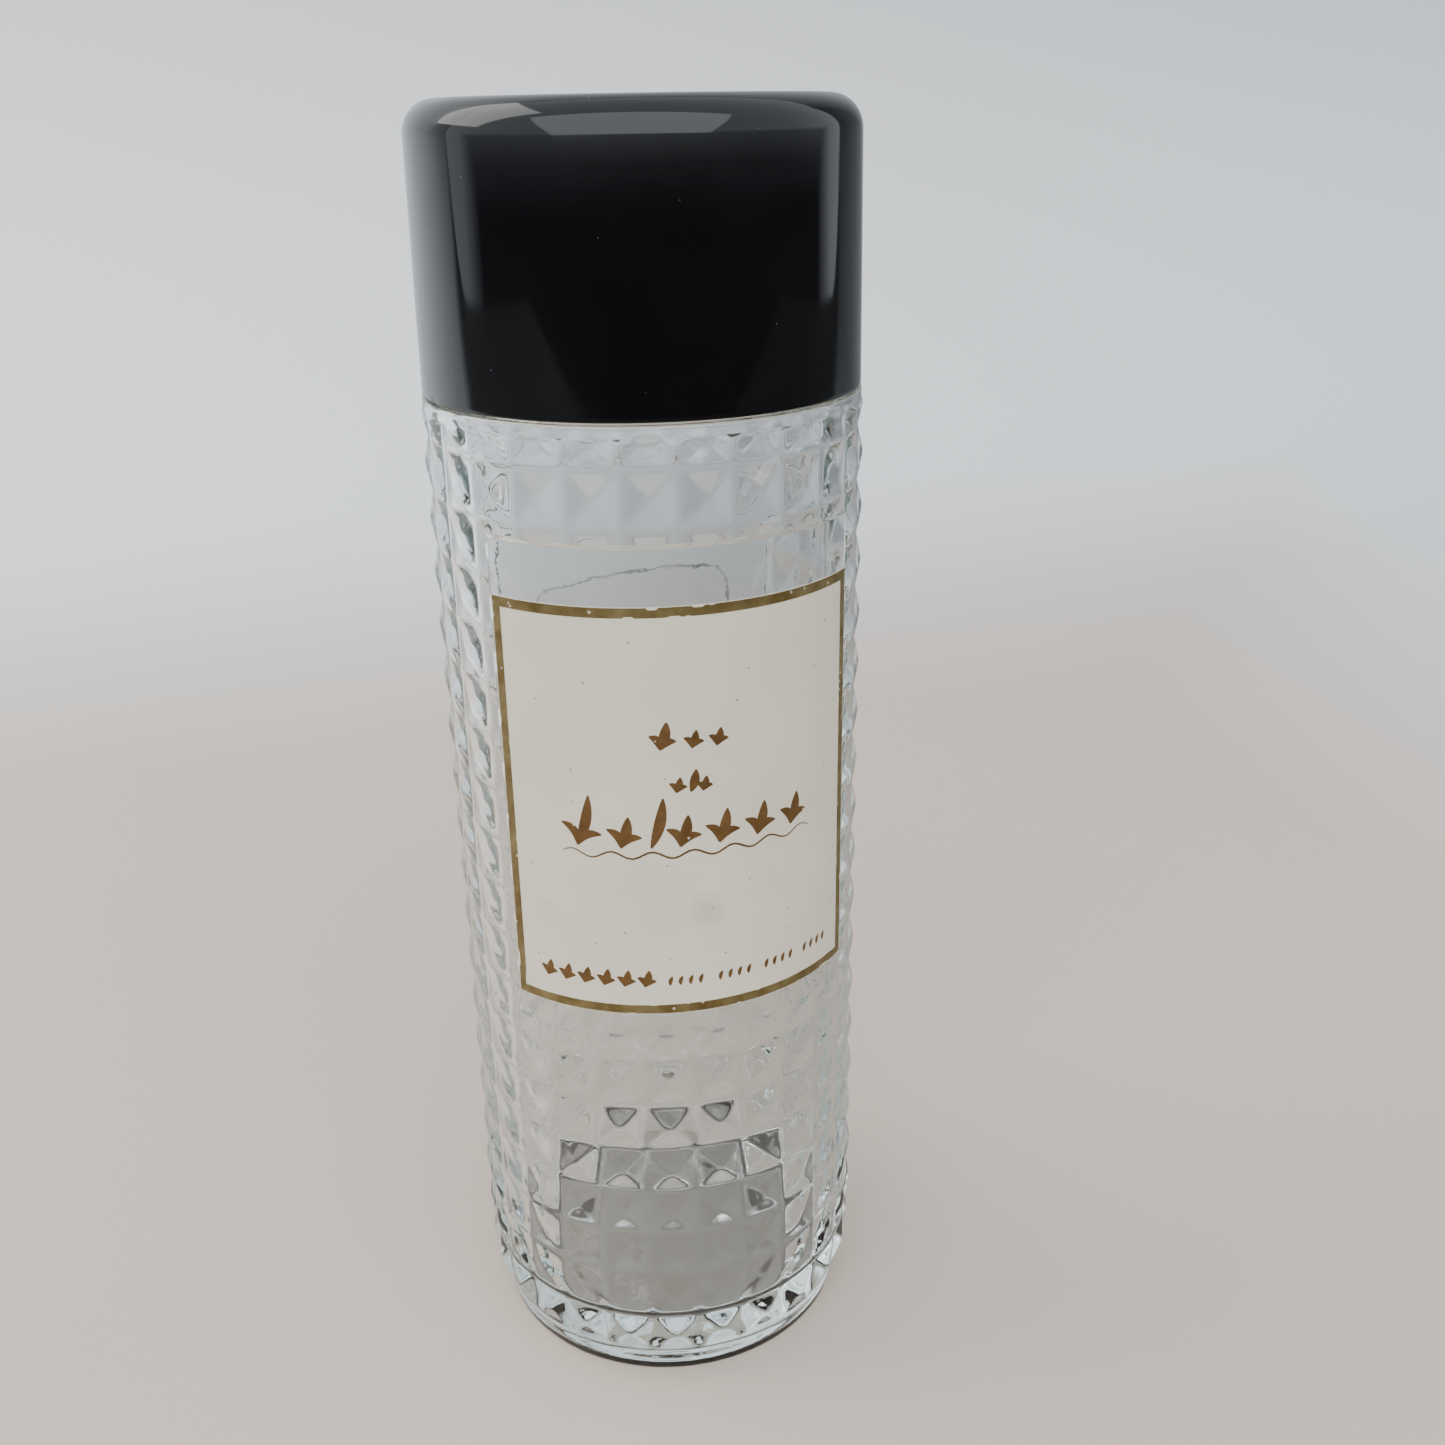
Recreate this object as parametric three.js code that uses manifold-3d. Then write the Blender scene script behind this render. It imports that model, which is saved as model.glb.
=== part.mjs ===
import * as THREE from 'three';
import { mergeVertices } from 'three/addons/utils/BufferGeometryUtils.js';
import Module from 'manifold-3d';

// A moulded glass cologne bottle with a black screw cap. Millimetres, +Z up, front label towards -Y.
// The origin is the middle of the base, on the surface that the bottle stands on.

// Glass body
const bodyRadius = 30;
const pyramidDepth = 0.7;
const columnCount = 26;
const rowHeight = 7.587;
const rowCount = 18;
const columnOffset = THREE.MathUtils.degToRad( - 1.53 );
const firstGrooveZ = 5.13;
const patternTopZ = 145.4;
const heelRadius = 28.2;
const rimRadius = 27.3;
const rimChamfer = 0.5;
const pushUpRadius = 23.4;
const pushUpHeight = 2.2;

// Smooth panels that the labels are stuck to
const panelRadius = 29.65;
const panelHalfWidth = 52.5;
const panelBottomZ = 62.6;
const panelTopZ = 132.1;
const lowerBevel = 4.4;
const panelRootRadius = 26.8;
const panelSegments = 104;
const panelMiddles = [ - 90, 90 ];

// Shoulder and neck
const bandRadius = 29.6;
const ledgeZ = 146.9;
const shoulderRadius = 27;
const neckRootRadius = 12.4;
const neckRootZ = 157;
const lipZ = 174;
const neckBeadRadius = 13.5;
const neckBeadZ = 160.5;

// Inside of the glass
const cavityRadius = 25.8;
const cavityFloorZ = 8.2;
const cavityTopZ = 144.5;
const cavityDomeZ = 153.5;
const boreRadius = 8.6;

// Screw thread
const threadPitch = 4.233;
const threadTurns = 1.5;
const threadStartZ = 164;
const neckThreadRadius = 13.6;
const insertThreadRadius = 14;

// Cap
const capBottomZ = 147.2;
const capTopZ = 183.2;
const capBottomRadius = 29.5;
const capTopRadius = 29.2;
const capFillet = 4.3;
const capWall = 2.1;
const capRoof = 2.2;
const insertBoreRadius = 15;
const insertSleeveRadius = 16.8;
const insertFlangeRadius = 26.8;
const insertFlangeZ = 158.2;
const insertFlangeThickness = 1.4;
const insertRoofZ = 177.4;
const insertRoofThickness = 1.5;
const ribCount = 8;
const ribThickness = 1.2;

// Orifice plug and liner
const plugSleeveRadius = 8.3;
const plugBoreRadius = 7.2;
const plugFlangeRadius = 10.8;
const plugBottomZ = 163.6;
const plugWebZ = 171.4;
const plugFlangeZ = 174.3;
const orificeRadius = 1.9;
const linerRadius = 13.4;
const facingZ = 175.2;
const facingThickness = 0.4;
const backingZ = 175.9;
const backingThickness = 1.2;

// Labels
const labelGap = 0.1;
const labelThickness = 0.15;
const frontLabel = { middle: - 90, halfWidth: 51.6, bottomZ: 66.3, topZ: 124.7 };
const rearLabel = { middle: 90, halfWidth: 33, middleZ: 94, height: 38, corner: 3, tilt: - 4 };

const lookGlass = { color: 0xdfe6e4, roughness: 0.05, metalness: 0 };
const lookCap = { color: 0x0b0b0d, roughness: 0.12, metalness: 0 };
const lookInsert = { color: 0x1b1b1d, roughness: 0.45, metalness: 0 };
const lookPlug = { color: 0xe9ebea, roughness: 0.4, metalness: 0 };
const lookFacing = { color: 0xf2f2ee, roughness: 0.35, metalness: 0 };
const lookBacking = { color: 0xd8cfbd, roughness: 0.8, metalness: 0 };
const lookLabel = { color: 0xd2c7b6, roughness: 0.7, metalness: 0 };

const wasm = await Module();
wasm.setup();

function toSolid( geometry ) {

	geometry.deleteAttribute( 'normal' );
	geometry.deleteAttribute( 'uv' );
	const merged = mergeVertices( geometry, 1e-4 );
	const vertProperties = new Float32Array( merged.attributes.position.array );
	const triVerts = new Uint32Array( merged.index.array );
	return new wasm.Manifold( new wasm.Mesh( { numProp: 3, vertProperties, triVerts } ) );

}

function toMesh( name, solid, look ) {

	const mesh = solid.getMesh();
	const geometry = new THREE.BufferGeometry();
	geometry.setAttribute( 'position', new THREE.BufferAttribute( mesh.vertProperties, 3 ) );
	geometry.setIndex( new THREE.BufferAttribute( mesh.triVerts, 1 ) );
	geometry.computeVertexNormals();
	const part = new THREE.Mesh( geometry, new THREE.MeshStandardMaterial( look ) );
	part.name = name;
	return part;

}

// A profile of [ radius, z ] points, bottom to top on its outer side, turned about +Z.
function turned( profile, segments = 40 ) {

	const points = profile.map( ( [ r, z ] ) => new THREE.Vector2( r, z ) );
	const geometry = new THREE.LatheGeometry( points, segments );
	geometry.rotateX( Math.PI / 2 );
	return toSolid( geometry );

}

// Points on a quarter ellipse from one [ radius, z ] corner to another; bulge says which way it curves.
function quarter( from, to, steps, bulge = 'out' ) {

	const points = [];
	for ( let i = 1; i < steps; i ++ ) {

		const angle = i / steps * Math.PI / 2;
		const along = bulge === 'out' ? 1 - Math.cos( angle ) : Math.sin( angle );
		const across = bulge === 'out' ? Math.sin( angle ) : 1 - Math.cos( angle );
		const radius = from[ 0 ] + ( to[ 0 ] - from[ 0 ] ) * along;
		const z = from[ 1 ] + ( to[ 1 ] - from[ 1 ] ) * across;
		points.push( [ radius, z ] );

	}

	return points;

}

// Part of a ring wall between two radii and two angles, upright.
function wallSector( innerRadius, outerRadius, middle, halfWidth, bottomZ, topZ ) {

	const start = THREE.MathUtils.degToRad( middle - halfWidth );
	const end = THREE.MathUtils.degToRad( middle + halfWidth );
	const shape = new THREE.Shape();
	shape.absarc( 0, 0, outerRadius, start, end, false );
	shape.absarc( 0, 0, innerRadius, end, start, true );
	shape.closePath();
	const settings = { depth: topZ - bottomZ, bevelEnabled: false, curveSegments: 24 };
	const geometry = new THREE.ExtrudeGeometry( shape, settings );
	geometry.translate( 0, 0, bottomZ );
	return toSolid( geometry );

}

// The outside of the glass below the band: a smooth heel, then rows of four-sided pyramids.
function patternedSkin() {

	const positions = [];
	const faces = [];
	const front = - Math.PI / 2 + columnOffset;
	const grooveRadius = bodyRadius - pyramidDepth;

	function vertex( column, radius, z ) {

		const angle = front + column / columnCount * 2 * Math.PI;
		positions.push( radius * Math.cos( angle ), radius * Math.sin( angle ), z );
		return positions.length / 3 - 1;

	}

	function ring( radius, z, shift = 0 ) {

		const indices = [];
		for ( let column = 0; column < columnCount; column ++ ) {

			indices.push( vertex( column + shift, radius, z ) );

		}

		return indices;

	}

	const floor = ring( rimRadius - rimChamfer, 0 );
	const rim = ring( rimRadius, rimChamfer );
	const grooves = [];
	for ( let row = 0; row <= rowCount; row ++ ) {

		const radius = row === 0 ? heelRadius : grooveRadius;
		grooves.push( ring( radius, firstGrooveZ + row * rowHeight ) );

	}

	const topGroove = ring( grooveRadius, patternTopZ );
	const topTips = ring( bodyRadius, patternTopZ, 0.5 );
	const floorMiddle = vertex( 0, 0, 0 );
	const topMiddle = vertex( 0, 0, patternTopZ );

	for ( let column = 0; column < columnCount; column ++ ) {

		const next = ( column + 1 ) % columnCount;
		faces.push( floorMiddle, floor[ next ], floor[ column ] );
		for ( const [ low, high ] of [ [ floor, rim ], [ rim, grooves[ 0 ] ] ] ) {

			faces.push( low[ column ], low[ next ], high[ next ], low[ column ], high[ next ], high[ column ] );

		}

		for ( let row = 0; row < rowCount; row ++ ) {

			const tip = vertex( column + 0.5, bodyRadius, firstGrooveZ + ( row + 0.5 ) * rowHeight );
			const low = grooves[ row ];
			const high = grooves[ row + 1 ];
			const corners = [ low[ column ], low[ next ], high[ next ], high[ column ] ];
			corners.forEach( ( corner, i ) => faces.push( corner, corners[ ( i + 1 ) % 4 ], tip ) );

		}

		const last = grooves[ rowCount ];
		faces.push( last[ column ], last[ next ], topTips[ column ] );
		faces.push( last[ next ], topGroove[ next ], topTips[ column ] );
		faces.push( topGroove[ column ], last[ column ], topTips[ column ] );
		faces.push( topMiddle, topGroove[ column ], topTips[ column ] );
		faces.push( topMiddle, topTips[ column ], topGroove[ next ] );

	}

	const geometry = new THREE.BufferGeometry();
	geometry.setAttribute( 'position', new THREE.Float32BufferAttribute( positions, 3 ) );
	geometry.setIndex( faces );
	return toSolid( geometry );

}

// A ridge that climbs round a cylinder and is low at both ends. It grows towards the axis where its crest has
// the smaller radius.
function threadRidge( rootRadius, crestRadius, startZ ) {

	const stepsPerTurn = 24;
	const steps = Math.round( threadTurns * stepsPerTurn );
	const rootHalf = 1.1;
	const crestHalf = 0.45;
	const positions = [];
	const faces = [];
	for ( let i = 0; i <= steps; i ++ ) {

		const angle = i / stepsPerTurn * 2 * Math.PI;
		const middleZ = startZ + i / stepsPerTurn * threadPitch;
		const swell = Math.min( 1, 0.15 + i / 4, 0.15 + ( steps - i ) / 4 );
		const crest = rootRadius + ( crestRadius - rootRadius ) * swell;
		const section = [
			[ rootRadius, - rootHalf ],
			[ crest, - crestHalf ],
			[ crest, crestHalf ],
			[ rootRadius, rootHalf ],
		];
		if ( crestRadius < rootRadius ) section.reverse();
		for ( const [ radius, rise ] of section ) {

			positions.push( radius * Math.cos( angle ), radius * Math.sin( angle ), middleZ + rise );

		}

		if ( i === steps ) continue;
		for ( let side = 0; side < 4; side ++ ) {

			const a = i * 4 + side;
			const b = i * 4 + ( side + 1 ) % 4;
			faces.push( a, a + 4, b + 4, a, b + 4, b );

		}

	}

	const end = steps * 4;
	faces.push( 0, 1, 2, 0, 2, 3, end, end + 2, end + 1, end, end + 3, end + 2 );
	const geometry = new THREE.BufferGeometry();
	geometry.setAttribute( 'position', new THREE.Float32BufferAttribute( positions, 3 ) );
	geometry.setIndex( faces );
	return toSolid( geometry );

}

function makeGlass() {

	const grooveRadius = bodyRadius - pyramidDepth;
	const bevelFootZ = panelBottomZ - lowerBevel;
	const smoothWall = turned( [
		[ panelRootRadius, bevelFootZ ],
		[ grooveRadius, bevelFootZ ],
		[ panelRadius, panelBottomZ ],
		[ panelRadius, panelTopZ ],
		[ panelRootRadius, panelTopZ ],
		[ panelRootRadius, bevelFootZ ],
	], panelSegments );
	let outside = patternedSkin();
	for ( const middle of panelMiddles ) {

		const gap = wallSector(
			panelRootRadius + 0.5, bodyRadius + 2, middle, panelHalfWidth, panelBottomZ, panelTopZ
		);
		const sides = wallSector(
			cavityRadius, bodyRadius + 3, middle, panelHalfWidth, bevelFootZ - 1, panelTopZ + 1
		);
		outside = outside.subtract( gap ).add( smoothWall.intersect( sides ) );

	}

	const shoulderAndNeck = turned( [
		[ 0, patternTopZ - 2 ],
		[ shoulderRadius, patternTopZ - 2 ],
		[ bandRadius, patternTopZ - 0.1 ],
		[ bandRadius, ledgeZ ],
		[ shoulderRadius, ledgeZ ],
		...quarter( [ shoulderRadius, ledgeZ ], [ neckRootRadius, neckRootZ ], 6 ),
		[ neckRootRadius, neckRootZ ],
		[ neckRootRadius, neckBeadZ - 1.2 ],
		[ neckBeadRadius, neckBeadZ - 0.5 ],
		[ neckBeadRadius, neckBeadZ + 0.5 ],
		[ neckRootRadius, neckBeadZ + 1.2 ],
		[ neckRootRadius, lipZ - 0.6 ],
		[ neckRootRadius - 0.6, lipZ ],
		[ 0, lipZ ],
	] );
	const cavity = turned( [
		[ 0, cavityFloorZ ],
		[ cavityRadius - 6, cavityFloorZ - 0.6 ],
		...quarter( [ cavityRadius - 6, cavityFloorZ - 0.6 ], [ cavityRadius, cavityFloorZ + 6 ], 4, 'in' ),
		[ cavityRadius, cavityFloorZ + 6 ],
		[ cavityRadius, cavityTopZ ],
		...quarter( [ cavityRadius, cavityTopZ ], [ boreRadius + 3, cavityDomeZ ], 5 ),
		[ boreRadius + 3, cavityDomeZ ],
		[ boreRadius, neckRootZ ],
		[ boreRadius, lipZ + 1 ],
		[ 0, lipZ + 1 ],
	] );
	const pushUp = turned( [
		[ 0, - 1 ],
		[ pushUpRadius, - 1 ],
		[ pushUpRadius, 0 ],
		...quarter( [ pushUpRadius, 0 ], [ 0, pushUpHeight ], 4 ),
		[ 0, pushUpHeight ],
	] );
	const thread = threadRidge( neckRootRadius - 0.3, neckThreadRadius, threadStartZ );
	return outside.add( shoulderAndNeck ).add( thread ).subtract( cavity ).subtract( pushUp );

}

function makeCapShell() {

	const roofZ = capTopZ - capRoof;
	const innerBottom = capBottomRadius - capWall;
	const innerTop = capTopRadius - capWall;
	const filletFoot = [ capTopRadius, capTopZ - capFillet ];
	const filletHead = [ capTopRadius - capFillet, capTopZ ];
	return turned( [
		[ 0, roofZ ],
		[ innerTop - 2.2, roofZ ],
		[ innerTop, roofZ - 2.2 ],
		[ innerBottom, capBottomZ ],
		[ capBottomRadius - 0.3, capBottomZ ],
		[ capBottomRadius, capBottomZ + 0.3 ],
		filletFoot,
		...quarter( filletFoot, filletHead, 5 ),
		filletHead,
		[ 0, capTopZ ],
	], 64 );

}

function makeCapInsert() {

	const flangeTopZ = insertFlangeZ + insertFlangeThickness;
	let insert = turned( [
		[ 0, insertRoofZ ],
		[ insertBoreRadius, insertRoofZ ],
		[ insertBoreRadius, insertFlangeZ ],
		[ insertFlangeRadius, insertFlangeZ ],
		[ insertFlangeRadius, flangeTopZ ],
		[ insertSleeveRadius, flangeTopZ ],
		[ insertSleeveRadius, insertRoofZ + insertRoofThickness ],
		[ 0, insertRoofZ + insertRoofThickness ],
	], 48 );
	const ribLength = insertFlangeRadius - insertSleeveRadius + 0.5;
	const ribHeight = insertRoofZ - insertFlangeZ - 1;
	for ( let i = 0; i < ribCount; i ++ ) {

		const rib = new THREE.BoxGeometry( ribLength, ribThickness, ribHeight );
		rib.translate( insertFlangeRadius - 0.3 - ribLength / 2, 0, insertFlangeZ + 0.5 + ribHeight / 2 );
		rib.rotateZ( i / ribCount * 2 * Math.PI );
		insert = insert.add( toSolid( rib ) );

	}

	const ridge = threadRidge( insertBoreRadius + 0.3, insertThreadRadius, threadStartZ + threadPitch / 2 );
	return insert.add( ridge );

}

function makePlug() {

	const webTopZ = plugWebZ + 1.4;
	const flangeTopZ = plugFlangeZ + 0.6;
	return turned( [
		[ orificeRadius, plugWebZ ],
		[ plugBoreRadius, plugWebZ ],
		[ plugBoreRadius, plugBottomZ ],
		[ plugSleeveRadius - 0.4, plugBottomZ ],
		[ plugSleeveRadius, plugBottomZ + 0.8 ],
		[ plugSleeveRadius, plugFlangeZ ],
		[ plugFlangeRadius, plugFlangeZ ],
		[ plugFlangeRadius, flangeTopZ ],
		[ plugBoreRadius + 0.4, flangeTopZ ],
		[ plugBoreRadius, webTopZ ],
		[ orificeRadius + 1.2, webTopZ ],
		[ orificeRadius + 0.9, webTopZ + 0.9 ],
		[ orificeRadius, webTopZ + 0.9 ],
		[ orificeRadius, plugWebZ ],
	], 40 );

}

function makeDisc( bottomZ, thickness ) {

	const topZ = bottomZ + thickness;
	return turned( [ [ 0, bottomZ ], [ linerRadius, bottomZ ], [ linerRadius, topZ ], [ 0, topZ ] ], 40 );

}

function makeFrontLabel() {

	const { middle, halfWidth, bottomZ, topZ } = frontLabel;
	const inner = panelRadius + labelGap;
	return wallSector( inner, inner + labelThickness, middle, halfWidth, bottomZ, topZ );

}

// The rear label is small, has round corners and was stuck on slightly crooked.
function makeRearLabel() {

	const { middle, halfWidth, middleZ, height, corner, tilt } = rearLabel;
	const inner = panelRadius + labelGap;
	const reach = halfWidth + 4;
	const wrap = wallSector( inner, inner + labelThickness, middle, reach, middleZ - height, middleZ + height );
	const x = inner * Math.sin( THREE.MathUtils.degToRad( halfWidth ) );
	const y = height / 2;
	const outline = new THREE.Shape();
	outline.absarc( x - corner, y - corner, corner, 0, Math.PI / 2 );
	outline.absarc( - x + corner, y - corner, corner, Math.PI / 2, Math.PI );
	outline.absarc( - x + corner, - y + corner, corner, Math.PI, Math.PI * 3 / 2 );
	outline.absarc( x - corner, - y + corner, corner, Math.PI * 3 / 2, Math.PI * 2 );
	outline.closePath();
	const extrusion = { depth: inner + 10, bevelEnabled: false, curveSegments: 5 };
	const cutter = new THREE.ExtrudeGeometry( outline, extrusion );
	cutter.rotateZ( THREE.MathUtils.degToRad( tilt ) );
	cutter.rotateX( Math.PI / 2 );
	cutter.rotateZ( Math.PI );
	cutter.translate( 0, 0, middleZ );
	return wrap.intersect( toSolid( cutter ) );

}

const bottle = new THREE.Group();
bottle.add(
	toMesh( 'glass_bottle', makeGlass(), lookGlass ),
	toMesh( 'pour_plug', makePlug(), lookPlug ),
	toMesh( 'front_label', makeFrontLabel(), lookLabel ),
	toMesh( 'rear_label', makeRearLabel(), lookLabel ),
	toMesh( 'liner_facing', makeDisc( facingZ, facingThickness ), lookFacing ),
	toMesh( 'liner_backing', makeDisc( backingZ, backingThickness ), lookBacking ),
	toMesh( 'cap_insert', makeCapInsert(), lookInsert ),
	toMesh( 'cap_shell', makeCapShell(), lookCap ),
);

export default bottle;
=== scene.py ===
import bpy
from math import ceil, cos, hypot, pi, radians, sin, sqrt
from mathutils import Matrix, Vector, noise


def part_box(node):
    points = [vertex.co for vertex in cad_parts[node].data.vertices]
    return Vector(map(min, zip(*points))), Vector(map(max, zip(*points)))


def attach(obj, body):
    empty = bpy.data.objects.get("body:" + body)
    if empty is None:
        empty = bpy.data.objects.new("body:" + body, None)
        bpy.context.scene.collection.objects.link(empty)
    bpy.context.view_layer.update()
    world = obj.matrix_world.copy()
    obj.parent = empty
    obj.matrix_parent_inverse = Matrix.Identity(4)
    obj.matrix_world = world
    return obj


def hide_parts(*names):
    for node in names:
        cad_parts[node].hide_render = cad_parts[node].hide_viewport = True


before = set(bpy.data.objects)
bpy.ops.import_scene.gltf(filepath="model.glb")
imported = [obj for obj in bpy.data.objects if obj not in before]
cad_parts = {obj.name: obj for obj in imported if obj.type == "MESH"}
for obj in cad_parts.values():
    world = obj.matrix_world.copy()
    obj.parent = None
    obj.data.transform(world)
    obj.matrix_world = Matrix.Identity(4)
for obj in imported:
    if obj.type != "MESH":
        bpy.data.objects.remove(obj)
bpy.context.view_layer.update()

mm = 0.001
front = -pi / 2  # where the front label faces, as an angle round the bottle
back = pi / 2


def mix(a, b, share):
    return a + (b - a) * share


def ease(low, high, value):
    share = min(1, max(0, (value - low) / (high - low)))
    return share * share * (3 - 2 * share)


def waver(x, y, z, size):
    return noise.noise(Vector((x / size, y / size, z / size)))


def angleFrom(angle, middle):
    return (angle - middle + pi) % (2 * pi) - pi


def topOf(node):
    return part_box(node)[1].z / mm


def bottomOf(node):
    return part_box(node)[0].z / mm


def radiusOf(node):
    return max(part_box(node)[1].x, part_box(node)[1].y) / mm


def quarterCurve(fromPoint, toPoint, steps, upright=True):
    points = []
    for i in range(steps + 1):
        t = i / steps * pi / 2
        along = 1 - cos(t) if upright else sin(t)
        rise = sin(t) if upright else 1 - cos(t)
        points.append((mix(fromPoint[0], toPoint[0], along), mix(fromPoint[1], toPoint[1], rise)))
    return points


def levels(low, high, step):
    count = max(1, ceil(abs(high - low) / step))
    return [mix(low, high, i / count) for i in range(count + 1)]


# A turned shape. The profile runs from the axis along the underside, up the outside and back to the axis,
# or round in a ring if it ends where it starts. shape(angle, r, z) may push the surface in or out.
def turn(profile, angles, shape=None, verts=None, faces=None):
    verts = [] if verts is None else verts
    faces = [] if faces is None else faces
    count = len(angles)
    ringed = profile[0] == profile[-1]
    rings = []
    for r, z in profile[:-1] if ringed else profile:
        start = len(verts)
        if r == 0:
            verts.append((0, 0, z * mm))
            rings.append((start,))
            continue
        for angle in angles:
            out = shape(angle, r, z) if shape else r
            verts.append((out * cos(angle) * mm, out * sin(angle) * mm, z * mm))
        rings.append(range(start, start + count))
    if ringed:
        rings.append(rings[0])
    for low, high in zip(rings, rings[1:]):
        for j in range(count):
            k = (j + 1) % count
            if len(low) == 1:
                faces.append((low[0], high[k], high[j]))
            elif len(high) == 1:
                faces.append((low[j], low[k], high[0]))
            else:
                splitQuad(verts, faces, low[j], low[k], high[k], high[j])
    return verts, faces


# Splits a four-sided face along the diagonal that stands prouder, so that ridges stay sharp.
def splitQuad(verts, faces, a, b, c, d):
    reach = [hypot(verts[i][0], verts[i][1]) for i in (a, b, c, d)]
    if abs(reach[0] + reach[2] - reach[1] - reach[3]) < 1e-7:
        faces.append((a, b, c, d))
    elif reach[0] + reach[2] > reach[1] + reach[3]:
        faces.extend([(a, b, c), (a, c, d)])
    else:
        faces.extend([(b, c, d), (b, d, a)])


def evenAngles(count):
    return [i / count * 2 * pi for i in range(count)]


def makePiece(name, verts, faces, materials, body, stands=None, sharp=None, materialAt=None):
    mesh = bpy.data.meshes.new(name)
    mesh.from_pydata(verts, [], faces)
    for material in materials:
        mesh.materials.append(material)
    mesh.polygons.foreach_set("use_smooth", [True] * len(mesh.polygons))
    if materialAt:
        mesh.polygons.foreach_set("material_index", materialAt)
    mesh.update()
    if sharp:
        mesh.set_sharp_from_angle(angle=radians(sharp))
    piece = bpy.data.objects.new(name, mesh)
    bpy.context.scene.collection.objects.link(piece)
    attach(piece, body)
    if stands:
        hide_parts(stands)
    return piece


# Nodes and shared effects
def addNode(tree, kind, inputs=None, **settings):
    made = tree.nodes.new(kind)
    for setting, value in settings.items():
        setattr(made, setting, value)
    for socket, value in (inputs or {}).items():
        if isinstance(value, bpy.types.NodeSocket):
            tree.links.new(value, made.inputs[socket])
        else:
            made.inputs[socket].default_value = value
    return made


def newGroup(name, inputs, outputs):
    tree = bpy.data.node_groups.new(name, "ShaderNodeTree")
    for label, value in inputs.items():
        socket = tree.interface.new_socket(name=label, in_out="INPUT", socket_type="NodeSocketFloat")
        socket.default_value = value
    for label in outputs:
        tree.interface.new_socket(name=label, in_out="OUTPUT", socket_type="NodeSocketFloat")
    return tree, tree.nodes.new("NodeGroupInput"), tree.nodes.new("NodeGroupOutput")


# A value mapped from one range to another, held at the ends.
def addRange(tree, value, low, high, start=0, end=1):
    return addNode(tree, "ShaderNodeMapRange", {"Value": value, "From Min": low, "From Max": high,
                                                "To Min": start, "To Max": end}).outputs["Result"]


# A Math node's result, with its values in the order of its sockets.
def addMath(tree, operation, *values):
    return addNode(tree, "ShaderNodeMath", dict(enumerate(values)), operation=operation).outputs[0]


cloudRange = (0.32, 0.68)  # where nearly all of a noise texture's values lie


# Soft patches between two values, for roughness that is never quite even.
def makePatchesGroup():
    tree, given, made = newGroup("patches", {"Size": 100, "Low": 0, "High": 1}, ["Value"])
    place = addNode(tree, "ShaderNodeTexCoord")
    cloud = addNode(tree, "ShaderNodeTexNoise",
                    {"Vector": place.outputs["Object"], "Scale": given.outputs["Size"], "Detail": 4})
    spread = addRange(tree, cloud.outputs["Fac"], *cloudRange, given.outputs["Low"], given.outputs["High"])
    tree.links.new(spread, made.inputs["Value"])
    return tree


# Scattered specks, such as dust or flecks in paper.
def makeSpecksGroup():
    tree, given, made = newGroup("specks", {"Count": 400, "Width": 0.06, "Share": 0.5}, ["Mask"])
    place = addNode(tree, "ShaderNodeTexCoord")
    cells = addNode(tree, "ShaderNodeTexVoronoi",
                    {"Vector": place.outputs["Object"], "Scale": given.outputs["Count"]})
    dot = addMath(tree, "LESS_THAN", cells.outputs["Distance"], given.outputs["Width"])
    pick = addNode(tree, "ShaderNodeSeparateColor", {"Color": cells.outputs["Color"]})
    chosen = addMath(tree, "LESS_THAN", pick.outputs["Red"], given.outputs["Share"])
    tree.links.new(addMath(tree, "MULTIPLY", dot, chosen), made.inputs["Mask"])
    return tree


# Uneven height for a Bump node, from broad waves and fine grain together.
def makeGrainGroup():
    tree, given, made = newGroup("grain", {"Waves": 60, "Grain": 900, "Share": 0.3}, ["Height"])
    place = addNode(tree, "ShaderNodeTexCoord")
    broad = addNode(tree, "ShaderNodeTexNoise",
                    {"Vector": place.outputs["Object"], "Scale": given.outputs["Waves"], "Detail": 2})
    fine = addNode(tree, "ShaderNodeTexNoise",
                   {"Vector": place.outputs["Object"], "Scale": given.outputs["Grain"], "Detail": 3})
    both = addNode(tree, "ShaderNodeMix", {"Factor": given.outputs["Share"], "A": broad.outputs["Fac"],
                                           "B": fine.outputs["Fac"]}, data_type="FLOAT")
    tree.links.new(both.outputs["Result"], made.inputs["Height"])
    return tree


patchesGroup = makePatchesGroup()
specksGroup = makeSpecksGroup()
grainGroup = makeGrainGroup()


def addGroup(tree, group, inputs):
    return addNode(tree, "ShaderNodeGroup", inputs, node_tree=group)


def newMaterial(name, **sockets):
    material = bpy.data.materials.new(name)
    material.use_nodes = True
    shader = material.node_tree.nodes["Principled BSDF"]
    for socket, value in sockets.items():
        shader.inputs[socket.replace("_", " ")].default_value = value
    return material, material.node_tree, shader


def addBump(tree, shader, height, strength, distance):
    bump = addNode(tree, "ShaderNodeBump", {"Height": height, "Strength": strength, "Distance": distance})
    tree.links.new(bump.outputs["Normal"], shader.inputs["Normal"])
    return bump


def addRoughness(tree, shader, size, low, high):
    patches = addGroup(tree, patchesGroup, {"Size": size, "Low": low, "High": high})
    tree.links.new(patches.outputs["Value"], shader.inputs["Roughness"])


def mixColours(tree, factor, a, b):
    return addNode(tree, "ShaderNodeMix", {"Factor": factor, "A": a, "B": b},
                   data_type="RGBA").outputs["Result"]


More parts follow.
